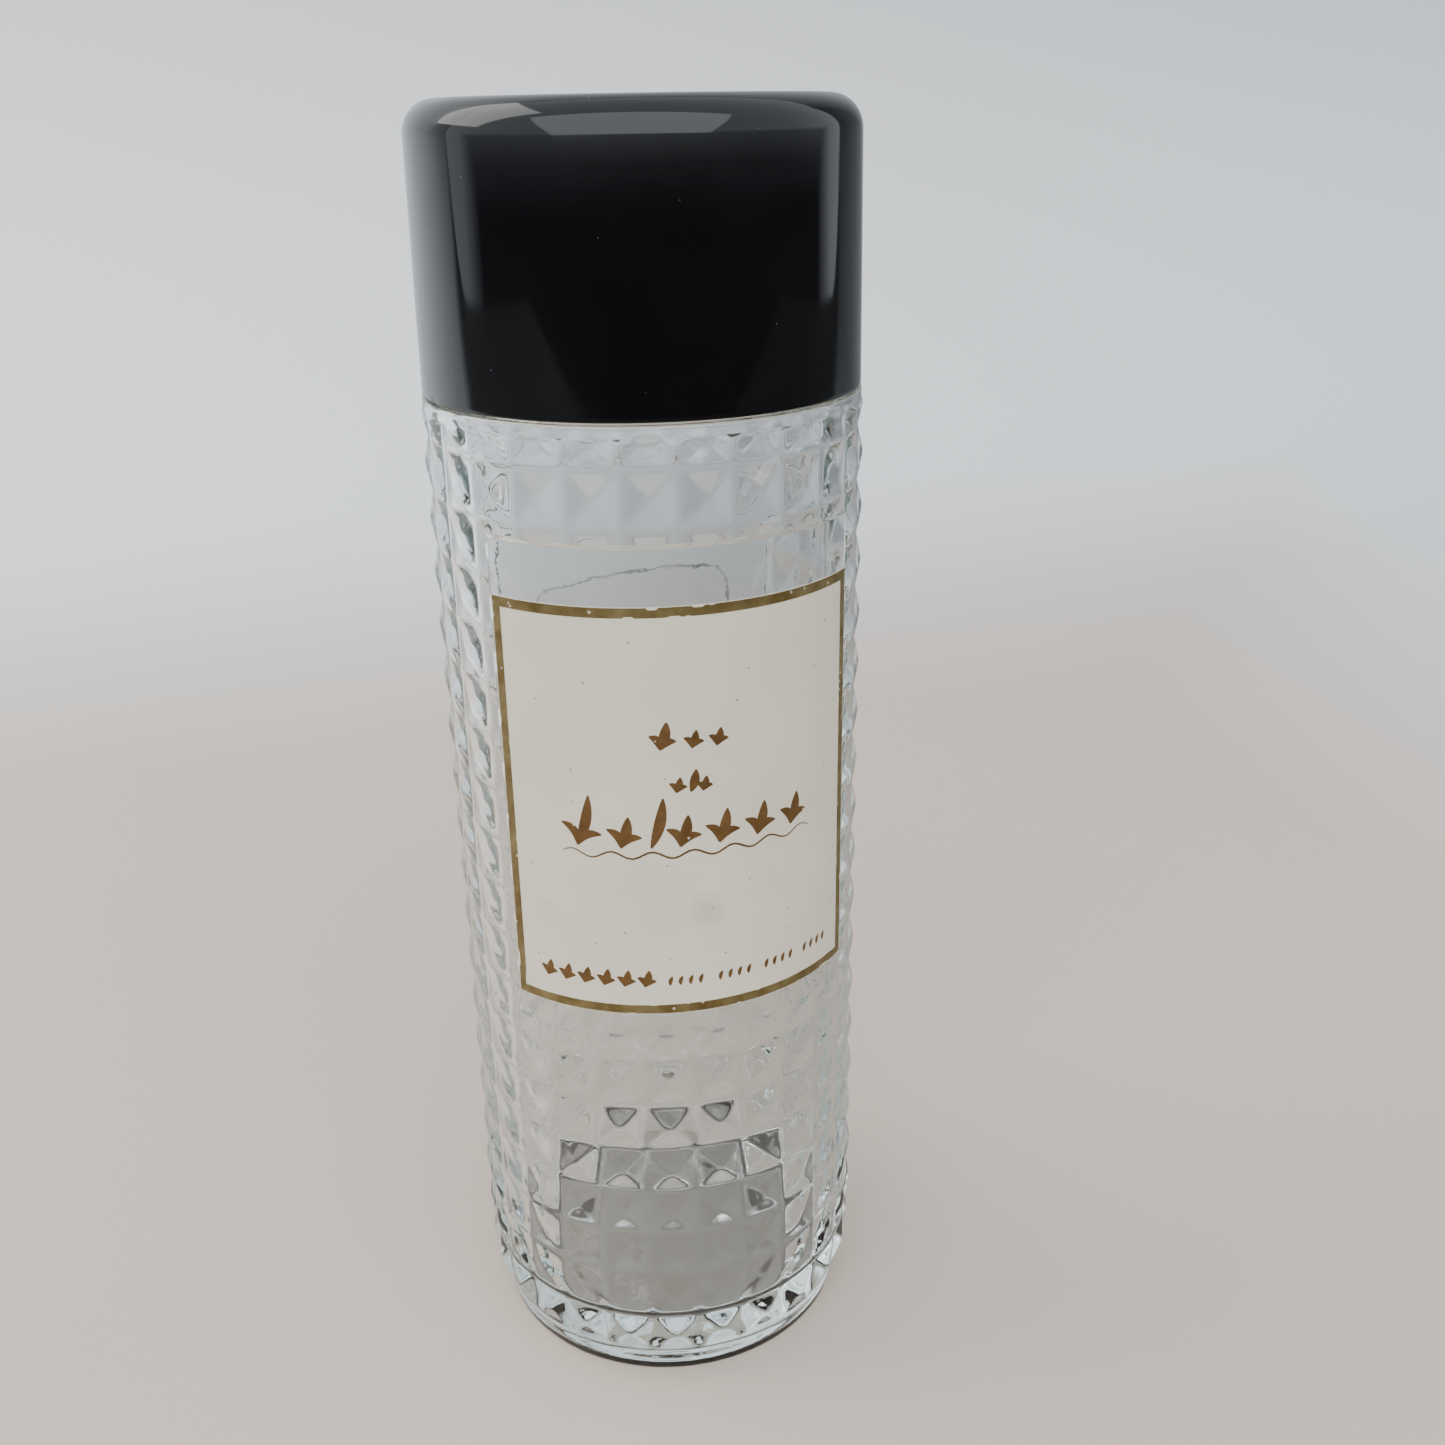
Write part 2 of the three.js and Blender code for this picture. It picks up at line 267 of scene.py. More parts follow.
# Base Color drifting between two close colours, with specks of a third.
def addColour(tree, shader, main, other, size, speck=None, specks=None):
    drift = addGroup(tree, patchesGroup, {"Size": size, "Low": 0, "High": 1}).outputs["Value"]
    colour = mixColours(tree, drift, main, other)
    if speck:
        dots = addGroup(tree, specksGroup, specks).outputs["Mask"]
        colour = mixColours(tree, dots, colour, speck)
    tree.links.new(colour, shader.inputs["Base Color"])
    return colour


# Glass bottle: clear moulded glass with rows of shallow pyramids and two smooth label panels.
glassBody = {
    "columns": 26,
    "rowHeight": 7.587,
    "firstRowZ": 5.13,
    "columnShift": radians(-1.53),
    "pointsPerCell": 10,
    "outerRadius": 29.93,
    "pyramidDepth": 0.75,
    "ridgeSharpness": 9,
    "tipRounding": 0.1,
    "grooveRounding": 0.06,
    "heelRadius": 28.2,
    "heelHeights": (0.06, 0.2, 0.45, 0.7, 1.8, 3.4, 4.6),
    "heelSwell": (-0.4, 0.9),
    "heelHold": 0.11,
    "rimRadius": 27.3,
    "rimRounding": 0.7,
    "rimFlatRadius": 25,
    "pushUpRadius": 23.4,
    "pushUpHeight": 2.2,
    "pushUpRings": (0, 4, 8, 12, 16, 19, 21.5),
    "patternTopZ": 145.4,
    "bandRadius": 29.6,
    "fadeHeight": 0.6,
    "ledgeZ": 146.9,
    "ledgeRounding": 0.35,
    "panelRadius": 29.65,
    "panelHalfAngle": radians(52.5),
    "panelBottomZ": 62.6,
    "panelTopZ": 132.1,
    "lowerBevel": 4.4,
    "shoulderRadius": 27,
    "cavityRadius": 25.8,
    "cavityFloorZ": 8.2,
    "cavityTopZ": 144.5,
    "cavityDomeZ": 153.5,
    "cavityCorner": 6,
    "cavityRings": 6,
    "domeMouth": 3,
    "boreRadius": 8.6,
    "boreRings": (170, 165, 160),
    "boreRounding": 0.5,
    "creaseGap": 0.02,
    "creaseAngle": 0.0004,
    "unevenness": 0.04,
    "panelUnevenness": 0.01,
    "waves": 9,
    "ripples": 3.5,
    "tint": (0.98, 0.99, 0.985, 1),
    "depthTint": (0.70, 0.94, 0.90, 1),
    "depthTintDensity": 6,
}
neck = {
    "radius": 12.4,
    "rootZ": 157,
    "beadZ": 160.5,
    "beadLift": 1.1,
    "beadFlat": 0.4,
    "beadReach": 1.2,
    "threadLift": 1.2,
    "rings": 0.4,
    "lipRounding": 0.8,
}
thread = {"pitch": 4.233, "turns": 1.5, "startZ": 164, "rootHalf": 1.1, "crestHalf": 0.4, "endsPerTurn": 8}


# How far the screw thread stands out at this place, from 0 to 1.
def threadShare(angle, z, startZ):
    share = 0
    for lap in range(ceil(thread["turns"])):
        travelled = (angle % (2 * pi)) / (2 * pi) + lap
        left = thread["turns"] - travelled
        swell = min(1, travelled * thread["endsPerTurn"], left * thread["endsPerTurn"])
        offset = abs(z - startZ - travelled * thread["pitch"])
        share = max(share, swell * (1 - ease(thread["crestHalf"], thread["rootHalf"], offset)))
    return share


# How high a pyramid stands at a place in its cell, from 0 in the grooves to 1 at the tip.
def pyramidHeight(across, up):
    g = glassBody
    a, b = abs(2 * across - 1), abs(2 * up - 1)
    edge = min(1, (a ** g["ridgeSharpness"] + b ** g["ridgeSharpness"]) ** (1 / g["ridgeSharpness"]))
    tip, groove = g["tipRounding"], g["grooveRounding"]
    height = 1 - (sqrt(edge * edge + tip * tip) - tip) / (sqrt(1 + tip * tip) - tip)
    return (sqrt(height * height + groove * groove) - groove) / (sqrt(1 + groove * groove) - groove)


# The glass's outside below the band: a rounded foot, a heel, and rows of pyramids cut by the label panels.
def skinRadius(angle, z):
    g = glassBody
    if z < g["firstRowZ"]:
        base = mix(g["rimRadius"], g["heelRadius"], z / g["firstRowZ"])
        foot = max(0, g["rimRounding"] - z)
        return base - g["rimRounding"] + sqrt(max(0, g["rimRounding"] ** 2 - foot ** 2))
    grooveRadius = g["outerRadius"] - g["pyramidDepth"]
    rise = (z - g["firstRowZ"]) / g["rowHeight"]
    across = (angle - front - g["columnShift"]) / (2 * pi / g["columns"]) % 1
    swell = mix(-g["heelHold"], 1, ease(*g["heelSwell"], rise)) if rise < 1 else 1
    r = mix(g["heelRadius"], grooveRadius, swell) + g["pyramidDepth"] * pyramidHeight(across, rise % 1)
    r = mix(r, g["bandRadius"], ease(g["patternTopZ"] - g["fadeHeight"], g["patternTopZ"], z))
    for middle in (front, back):
        if abs(angleFrom(angle, middle)) > g["panelHalfAngle"]:
            continue
        if g["panelBottomZ"] <= z <= g["panelTopZ"]:
            return g["panelRadius"]
        below = (g["panelBottomZ"] - z) / g["lowerBevel"]
        if 0 < below < 1:
            r = max(r, mix(g["panelRadius"], grooveRadius, below))
    return r


# Heights of the rings up the patterned skin, with two close together at each sharp step.
def skinHeights():
    g = glassBody
    cell = g["rowHeight"] / g["pointsPerCell"]
    rings = ceil((g["patternTopZ"] - g["firstRowZ"]) / cell - 0.4)
    heights = list(g["heelHeights"]) + [g["firstRowZ"] + i * cell for i in range(rings)]
    for z in (g["panelBottomZ"], g["panelTopZ"], g["panelBottomZ"] - g["lowerBevel"]):
        heights += [z - g["creaseGap"], z + g["creaseGap"]]
    return sorted(heights + [g["patternTopZ"] - g["creaseGap"]])


def footProfile():
    g = glassBody
    foot = [(r, g["pushUpHeight"] * (1 - (r / g["pushUpRadius"]) ** 2)) for r in g["pushUpRings"]]
    return foot + [(g["pushUpRadius"], 0), (g["rimFlatRadius"], 0), (g["rimRadius"] - g["rimRounding"], 0)]


def neckProfile():
    g = glassBody
    lipZ, lip, bore = topOf("glass_bottle"), neck["lipRounding"], g["boreRounding"]
    profile = [(g["bandRadius"], g["patternTopZ"] + g["creaseGap"])]
    profile += quarterCurve((g["bandRadius"], g["ledgeZ"] - g["ledgeRounding"]),
                            (g["bandRadius"] - g["ledgeRounding"], g["ledgeZ"]), 4)
    profile += quarterCurve((g["shoulderRadius"], g["ledgeZ"]), (neck["radius"], neck["rootZ"]), 12)
    for z in levels(neck["rootZ"] + neck["rings"], lipZ - 1, neck["rings"]):
        profile.append((neck["radius"], z))
    profile += quarterCurve((neck["radius"], lipZ - lip), (neck["radius"] - lip, lipZ), 4)
    profile += quarterCurve((g["boreRadius"] + bore, lipZ), (g["boreRadius"], lipZ - bore), 3, upright=False)
    return profile


def cavityProfile():
    g = glassBody
    r, corner, floorZ = g["cavityRadius"], g["cavityCorner"], g["cavityFloorZ"]
    profile = [(g["boreRadius"], z) for z in g["boreRings"] + (neck["rootZ"],)]
    mouth = (g["boreRadius"] + g["domeMouth"], g["cavityDomeZ"])
    profile += reversed(quarterCurve((r, g["cavityTopZ"]), mouth, 12))
    profile += [(r, z) for z in levels(g["cavityTopZ"] - 4, floorZ + 10, g["cavityRings"])]
    edgeZ = floorZ - 0.6
    profile += reversed(quarterCurve((r - corner, edgeZ), (r, edgeZ + corner), 8, upright=False))
    return profile + [(14, edgeZ + 0.2), (7, edgeZ + 0.45), (0, floorZ)]


def glassShape(angle, r, z):
    g = glassBody
    x, y = cos(angle) * r, sin(angle) * r
    wave = waver(x, y, z, g["waves"]) + 0.5 * waver(x, y, z, g["ripples"])
    if r == g["outerRadius"]:  # stands for the patterned skin
        skin = skinRadius(angle, z)
        onPanel = abs(skin - g["panelRadius"]) < 0.001
        return skin + wave * (g["panelUnevenness"] if onPanel else g["unevenness"])
    if r == neck["radius"] and z > neck["rootZ"]:
        bead = neck["beadLift"] * (1 - ease(neck["beadFlat"], neck["beadReach"], abs(z - neck["beadZ"])))
        return r + max(bead, neck["threadLift"] * threadShare(angle, z, thread["startZ"]))
    if r == g["cavityRadius"]:
        return r - 2 * abs(wave) * g["unevenness"]
    return r


def makeGlass(material):
    g = glassBody
    count = g["columns"] * g["pointsPerCell"]
    angles = [front + g["columnShift"] + i / count * 2 * pi for i in range(count)]
    for middle in (front, back):
        for edge in (middle - g["panelHalfAngle"], middle + g["panelHalfAngle"]):
            angles += [edge - g["creaseAngle"], edge + g["creaseAngle"]]
    angles = sorted(angle % (2 * pi) for angle in angles)
    skin = [(g["outerRadius"], z) for z in skinHeights()]
    profile = footProfile() + skin + neckProfile() + cavityProfile()
    verts, faces = turn(profile, angles, glassShape)
    return makePiece("glassBottle", verts, faces, [material], "bottle", "glass_bottle")


def makeClearGlass():
    g = glassBody
    material, tree, shader = newMaterial("clearGlass", Base_Color=g["tint"], IOR=1.51,
                                         Transmission_Weight=1, Roughness=0)
    addRoughness(tree, shader, 140, 0, 0.035)
    grain = addGroup(tree, grainGroup, {"Waves": 70, "Grain": 320, "Share": 0.25})
    addBump(tree, shader, grain.outputs["Height"], 0.35, 0.0003)
    depth = addNode(tree, "ShaderNodeVolumeAbsorption",
                    {"Color": g["depthTint"], "Density": g["depthTintDensity"]})
    tree.links.new(depth.outputs["Volume"], tree.nodes["Material Output"].inputs["Volume"])
    return material


makeGlass(makeClearGlass())
print("glass bottle made")


# Cap: a glossy black cover over a ribbed, threaded insert.
cap = {
    "fillet": 4.3,
    "wall": 2.1,
    "roof": 2.2,
    "bottomZ": bottomOf("cap_shell"),
    "topZ": topOf("cap_shell"),
    "bottomRadius": 29.5,
    "topRadius": 29.2,
    "draftHeight": 32,
    "edgeRounding": 0.25,
    "innerCorner": 2.2,
    "swell": 0.03,
    "swellWaves": 22,
    "nickAngle": radians(197),
    "nickHalfAngle": 0.035,
    "nickHeight": 1.1,
    "nickDepth": 0.22,
    "black": (0.0012, 0.0012, 0.0016, 1),
    "worn": (0.0025, 0.0025, 0.003, 1),
    "dust": (0.09, 0.09, 0.095, 1),
}
insert = {
    "boreRadius": 15,
    "sleeveRadius": 16.8,
    "flangeRadius": 26.8,
    "flangeThickness": 1.4,
    "roofZ": 177.4,
    "threadLift": 1,
    "rings": 0.4,
    "corner": 0.6,
    "edge": 0.3,
    "ribs": 8,
    "ribThickness": 1.2,
    "grey": (0.022, 0.022, 0.024, 1),
    "otherGrey": (0.03, 0.03, 0.033, 1),
}


# The cap's wall swells and sinks a little, and its lower edge has one small nick.
def capShape(angle, r, z):
    if r <= cap["topRadius"] - 0.5:
        return r
    nearEdge = 1 - ease(0, cap["nickHeight"], z - cap["bottomZ"])
    nearNick = 1 - ease(0, cap["nickHalfAngle"], abs(angleFrom(angle, cap["nickAngle"])))
    swell = cap["swell"] * waver(cos(angle) * 30, sin(angle) * 30, z, cap["swellWaves"])
    onWall = 1 if z < cap["topZ"] - 5 else 0
    return r - (cap["nickDepth"] * nearEdge * nearNick - swell * onWall)


def makeCapShell(material):
    low, high, corner, edge = cap["bottomZ"], cap["topZ"], cap["innerCorner"], cap["edgeRounding"]
    lowRadius, highRadius = cap["bottomRadius"], cap["topRadius"]
    innerLow, innerHigh = lowRadius - cap["wall"], highRadius - cap["wall"]
    roofZ, filletFoot = high - cap["roof"], high - cap["fillet"]
    profile = [(0, roofZ), (12, roofZ), (innerHigh - corner, roofZ)]
    profile += reversed(quarterCurve((innerHigh, roofZ - corner), (innerHigh - corner, roofZ), 5))
    for i in range(7):
        profile.append((mix(innerHigh, innerLow, i / 6), mix(roofZ - corner - 0.2, low + 0.3, i / 6)))
    profile.append((innerLow + edge, low))
    profile += quarterCurve((lowRadius - edge, low), (lowRadius, low + edge), 3, upright=False)
    for z in [low + 0.6, low + cap["nickHeight"]] + levels(low + 3, filletFoot, 3):
        profile.append((mix(lowRadius, highRadius, (z - low) / cap["draftHeight"]), z))
    profile[-1] = (highRadius, filletFoot)
    profile += quarterCurve((highRadius, filletFoot), (highRadius - cap["fillet"], high), 14)[1:]
    profile += [(16, high), (8, high), (0, high)]
    verts, faces = turn(profile, evenAngles(240), capShape)
    return makePiece("capShell", verts, faces, [material], "cap", "cap_shell", sharp=50)


def insertShape(angle, r, z):
    if r == insert["boreRadius"]:
        return r - insert["threadLift"] * threadShare(angle, z, thread["startZ"] + thread["pitch"] / 2)
    return r


def addBlock(verts, faces, low, high, angle):
    start = len(verts)
    for x in (low[0], high[0]):
        for y in (low[1], high[1]):
            for z in (low[2], high[2]):
                turned = Matrix.Rotation(angle, 3, "Z") @ Vector((x, y, z))
                verts.append(tuple(turned * mm))
    sides = ((0, 1, 3, 2), (4, 6, 7, 5), (0, 4, 5, 1), (2, 3, 7, 6), (0, 2, 6, 4), (1, 5, 7, 3))
    faces.extend(tuple(start + i for i in side) for side in sides)


def makeCapInsert(material):
    i = insert
    flangeZ, topZ = bottomOf("cap_insert"), topOf("cap_insert")
    flangeTopZ = flangeZ + i["flangeThickness"]
    bore, sleeve, flange = i["boreRadius"], i["sleeveRadius"], i["flangeRadius"]
    corner, edge = i["corner"], i["edge"]
    profile = [(0, i["roofZ"]), (7, i["roofZ"]), (bore - corner, i["roofZ"])]
    profile += [(bore, z) for z in levels(i["roofZ"] - corner, flangeZ + corner, i["rings"])]
    profile += [(bore + corner, flangeZ), (flange - edge, flangeZ), (flange, flangeZ + edge)]
    profile += [(flange, flangeTopZ - edge), (flange - edge, flangeTopZ), (sleeve + corner, flangeTopZ)]
    profile += [(sleeve, flangeTopZ + corner), (sleeve, topZ - 0.5), (sleeve - 0.5, topZ)]
    profile += [(8, topZ), (0, topZ)]
    verts, faces = turn(profile, evenAngles(144), insertShape)
    half = i["ribThickness"] / 2
    for rib in range(i["ribs"]):
        addBlock(verts, faces, (sleeve - 0.5, -half, flangeTopZ - 0.5),
                 (flange - edge, half, i["roofZ"] - 0.5), rib / i["ribs"] * 2 * pi)
    return makePiece("capInsert", verts, faces, [material], "cap", "cap_insert", sharp=35)


def makeCapBlack():
    material, tree, shader = newMaterial("capBlack", IOR=1.48)
    addColour(tree, shader, cap["black"], cap["worn"], 60, cap["dust"],
              {"Count": 420, "Width": 0.045, "Share": 0.35})
    addRoughness(tree, shader, 90, 0.03, 0.08)
    grain = addGroup(tree, grainGroup, {"Waves": 25, "Grain": 420, "Share": 0.04})
    addBump(tree, shader, grain.outputs["Height"], 0.12, 0.0006)
    return material


def makeInsertPlastic():
    material, tree, shader = newMaterial("insertPlastic", IOR=1.49)
    addColour(tree, shader, insert["grey"], insert["otherGrey"], 180)
    addRoughness(tree, shader, 260, 0.38, 0.55)
    grain = addGroup(tree, grainGroup, {"Waves": 300, "Grain": 2600, "Share": 0.6})
    addBump(tree, shader, grain.outputs["Height"], 0.25, 0.0001)
    return material


makeCapShell(makeCapBlack())
makeCapInsert(makeInsertPlastic())
print("cap made")


# Pour plug and the two layers of the liner
plug = {
    "orificeRadius": 1.9,
    "boreRadius": 7.2,
    "sleeveRadius": 8.3,
    "flangeRadius": 10.8,
    "flangeThickness": 0.6,
    "webThickness": 1.4,
    "webZ": 171.4,
    "corner": 0.4,
    "edge": 0.15,
    "sealSpacing": 1.4,
    "sealHalfHeight": 0.35,
    "sealHeight": 0.12,
    "milk": (0.80, 0.81, 0.79, 1),
    "otherMilk": (0.74, 0.75, 0.72, 1),
}
liner = {
    "pressedRing": 11.6,
    "edge": 0.12,
    "ruffle": 0.04,
    "ruffledFrom": 13,
    "filmWhite": (0.86, 0.86, 0.84, 1),
    "filmStain": (0.74, 0.71, 0.62, 1),
    "board": (0.60, 0.53, 0.42, 1),
    "boardDark": (0.46, 0.39, 0.30, 1),
}


# A sleeve with sealing rings outside, a flange at its top, and a web with a small raised hole.
def makePlug(material):
    p = plug
    hole, bore, sleeve, flange = p["orificeRadius"], p["boreRadius"], p["sleeveRadius"], p["flangeRadius"]
    low, high, corner, edge = bottomOf("pour_plug"), topOf("pour_plug"), p["corner"], p["edge"]
    flangeZ, webZ, webTop = high - p["flangeThickness"], p["webZ"], p["webZ"] + p["webThickness"]
    start = (hole, webZ + edge)
    profile = [start, (hole + edge, webZ), (bore - corner, webZ), (bore, webZ - corner)]
    profile += [(bore, low + 0.2), (bore + 0.2, low), (sleeve - 0.5, low), (sleeve - 0.1, low + 0.5)]
    groove, half = sleeve - p["sealHeight"], p["sealHalfHeight"]
    for z in levels(low + 1.2, flangeZ - 1, p["sealSpacing"]):
        profile += [(groove, z - half), (sleeve, z), (groove, z + half)]
    profile += [(sleeve - 0.1, flangeZ), (flange - edge, flangeZ), (flange, flangeZ + edge)]
    profile += [(flange, high - edge), (flange - edge, high), (bore + 0.5, high), (bore, high - corner)]
    profile += [(bore, webTop + corner), (bore - corner, webTop), (hole + 1.3, webTop)]
    profile += [(hole + 1, webTop + 0.8), (hole + 0.5, webTop + 0.9), (hole, webTop + 0.6), start]
    verts, faces = turn(profile, evenAngles(96))
    return makePiece("pourPlug", verts, faces, [material], "bottle", "pour_plug", sharp=40)


def linerShape(angle, r, z):
    if r <= liner["ruffledFrom"]:
        return r
    return r + liner["ruffle"] * waver(cos(angle) * r, sin(angle) * r, 0, 1.5)


# A thin disc with the lip's pressed ring in it.
def makeDisc(name, node, material, body, dip):
    low, high, r = bottomOf(node), topOf(node), radiusOf(node)
    mark, edge = liner["pressedRing"], liner["edge"]
    profile = [(0, low), (mark - 2.2, low), (mark - 1.6, low + dip)]
    profile += [(mark + 0.4, low + dip), (mark + 1, low)]
    profile += [(r - edge, low), (r, low + 0.1), (r, high - 0.1), (r - edge, high), (mark, high), (0, high)]
    verts, faces = turn(profile, evenAngles(120), linerShape)
    return makePiece(name, verts, faces, [material], body, node, sharp=30)


def makePlugPlastic():
    material, tree, shader = newMaterial("plugPlastic", IOR=1.51, Subsurface_Weight=0.35,
                                         Subsurface_Scale=0.002)
    addColour(tree, shader, plug["milk"], plug["otherMilk"], 220)
    addRoughness(tree, shader, 300, 0.32, 0.48)
    grain = addGroup(tree, grainGroup, {"Waves": 250, "Grain": 2200, "Share": 0.5})
    addBump(tree, shader, grain.outputs["Height"], 0.2, 0.0001)
    return material


def makeLinerFilm():
    material, tree, shader = newMaterial("linerFilm", IOR=1.5)
    addColour(tree, shader, liner["filmWhite"], liner["filmStain"], 90)
    addRoughness(tree, shader, 400, 0.22, 0.4)
    grain = addGroup(tree, grainGroup, {"Waves": 400, "Grain": 1800, "Share": 0.3})
    addBump(tree, shader, grain.outputs["Height"], 0.25, 0.0001)
    return material


def makeLinerBoard():
    material, tree, shader = newMaterial("linerBoard", IOR=1.45)
    addColour(tree, shader, liner["board"], liner["boardDark"], 700, liner["boardDark"],
              {"Count": 1500, "Width": 0.2, "Share": 0.3})
    addRoughness(tree, shader, 500, 0.75, 0.95)
    grain = addGroup(tree, grainGroup, {"Waves": 900, "Grain": 4000, "Share": 0.5})
    addBump(tree, shader, grain.outputs["Height"], 0.6, 0.0002)
    return material


makePlug(makePlugPlastic())
makeDisc("linerFacing", "liner_facing", makeLinerFilm(), "liner_seat", 0.08)
makeDisc("linerBacking", "liner_backing", makeLinerBoard(), "liner_carrier", 0)
print("plug and liner made")


# Labels. Their shapes are drawn flat, across and up from the label's middle, then wrapped round the glass.
frontLabel = {
    "halfWidth": 26.8,
    "middleZ": (bottomOf("front_label") + topOf("front_label")) / 2,
    "halfHeight": (topOf("front_label") - bottomOf("front_label")) / 2,
    "innerRadius": 29.75,
    "outerRadius": 29.88,
    "inkLift": 0.018,
    "borderWidth": 1.4,
    "paper": (0.73, 0.655, 0.515, 1),
    "paperShade": (0.675, 0.605, 0.475, 1),
    "fleck": (0.33, 0.29, 0.23, 1),
    "smudge": (0.30, 0.29, 0.27, 1),
    "gold": (0.235, 0.18, 0.075, 1),
    "goldDark": (0.13, 0.085, 0.022, 1),
    "bronze": (0.175, 0.092, 0.028, 1),
    "bronzeDark": (0.11, 0.052, 0.014, 1),
    "worn": (0.50, 0.46, 0.38, 1),
    "lean": 0.24,
    "budStroke": 1.55,
    "tallBud": 6,
    "budRows": (
        (10.1, ((-3.7, 3.5, 3.9), (0.3, 2.7, 2.5), (3.6, 2.7, 2.5))),
        (4, ((-1.9, 2.4, 2.2), (0.1, 0.8, 3.2), (1.6, 2.2, 2.1))),
        (-3.8, ((-14.8, 5.6, 7.5), (-9.2, 4.7, 4.6), (-4.9, 1.6, 7.3), (-1.3, 4.7, 4.6), (4, 4.8, 4.9),
                (9.5, 4.7, 4.8), (15, 4.6, 4.6))),
    ),
    "tendril": {"drop": 1.1, "sway": 0.5, "waves": 1.15, "stroke": 0.3, "beyond": 3},
    "footBuds": {"count": 6, "firstX": -21.4, "spacing": 2.85, "z": -24.9, "size": 2.6},
    "footLeaves": {"count": 19, "firstX": -3.7, "spacing": 1.4, "z": -24.8, "length": 1.45, "width": 0.6,
                   "inGroup": 5},
    "wornPlaces": (
        ((-4.5, 0.8, 0.6), (1.3, 0.9, 0.5), (3, 0.4, 0.3)),
        ((17, 0.6, 0.4), (-8, 0.5, 0.25)),
        ((-22, 1.2, 0.4), (9, 0.5, 0.2), (-6, 0.3, 0.3)),
        ((-24, 1.5, 0.5), (-2, 0.4, 0.3), (12, 0.5, 0.25)),
    ),
    "smudges": (
        {"middle": (0.0035, -0.0280, 0.0835), "radius": 0.0035, "strength": 0.3},
        {"middle": (0.0125, -0.0252, 0.1010), "radius": 0.002, "strength": 0.3},
        {"middle": (-0.0235, -0.0170, 0.0700), "radius": 0.006, "strength": 0.16},
        {"middle": (0.0240, -0.0165, 0.1215), "radius": 0.005, "strength": 0.12},
    ),
    "smudgeBlur": 0.0035,
}
rearLabel = {
    "halfWidth": 18.4,
    "halfHeight": 19,
    "middleZ": 94,
    "aside": -1.8,
    "corner": 3,
    "tilt": radians(4),
    "innerRadius": 29.75,
    "outerRadius": 29.9,
    "film": (0.99, 0.99, 0.98, 1),
    "filmShade": (0.975, 0.975, 0.96, 1),
    "rimRows": 3,
    "rim": (0.34, 0.35, 0.35, 1),
    "rimShade": (0.85, 0.86, 0.85, 1),
}


# Wraps flat shapes on the glass and gives them an underside and side walls, so that each is a closed body.
def wrapSheet(points, faces, middle, middleZ, inner, outer, verts, allFaces):
    start, count = len(verts), len(points)
    for r in (outer, inner):
        for across, up in points:
            angle = middle + across / outer
            verts.append((r * cos(angle) * mm, r * sin(angle) * mm, (middleZ + up) * mm))
    edges = {}
    for face in faces:
        allFaces.append(tuple(start + i for i in face))
        allFaces.append(tuple(start + count + i for i in reversed(face)))
        for a, b in zip(face, face[1:] + face[:1]):
            edges[(a, b)] = True
    for a, b in edges:
        if (b, a) not in edges:
            allFaces.append((start + b, start + a, start + count + a, start + count + b))
    return 2 * len(faces) + sum((b, a) not in edges for a, b in edges)


# A grid of faces over rows of points, each row as long as the others.
def gridFaces(rows, columns):
    faces = []
    for i in range(rows - 1):
        for j in range(columns - 1):
            a = i * columns + j
            faces.append((a, a + 1, a + columns + 1, a + columns))
    return faces


# A flat ribbon along a line, with a width at each point.
def strip(line, widths):
    points = []
    for i, ((x, y), width) in enumerate(zip(line, widths)):
        before, after = line[max(0, i - 1)], line[min(len(line) - 1, i + 1)]
        dx, dy = after[0] - before[0], after[1] - before[1]
        length = hypot(dx, dy) or 1
        for side in (0.5, 0, -0.5):
            points.append((x - dy / length * width * side, y + dx / length * width * side))
    return points, [tuple(reversed(face)) for face in gridFaces(len(line), 3)]


# A pointed leaf that starts at a place and curves to one side.
def leaf(x, y, angle, length, width, bend=0.15):
    line, widths = [], []
    for i in range(9):
        t = i / 8
        along, aside = length * t, bend * length * sin(pi * t)
        line.append((x + along * cos(angle) - aside * sin(angle),
                     y + along * sin(angle) + aside * cos(angle)))
        widths.append(width * (sin(pi * min(1, 0.04 + t * 0.93)) ** 0.8))
    return strip(line, widths)


# A thin line through points, finer towards its ends.
def stem(points, width):
    line = []
    for (x0, y0), (x1, y1) in zip(points, points[1:]):
        steps = max(1, ceil(hypot(x1 - x0, y1 - y0) / 0.6))
        line += [(mix(x0, x1, i / steps), mix(y0, y1, i / steps)) for i in range(steps)]
    line.append(points[-1])
    widths = [width * (1 - 0.6 * abs(2 * i / (len(line) - 1) - 1) ** 3) for i in range(len(line))]
    return strip(line, widths)


# Three leaves that rise from one foot, the middle one the tallest. A narrow bud is the middle leaf alone.
def bud(foot, width, height):
    x, y = foot
    upright = pi / 2 - frontLabel["lean"]
    stroke = frontLabel["budStroke"] * min(1, 0.3 + height / frontLabel["tallBud"])
    shapes = [leaf(x, y, upright, height, stroke, -0.05)]
    if width > 2 * stroke:
        for side in (-1, 1):
            shapes.append(leaf(x, y, upright - side * 0.85, width * 0.68, stroke * 0.8, side * 0.22))
    return shapes


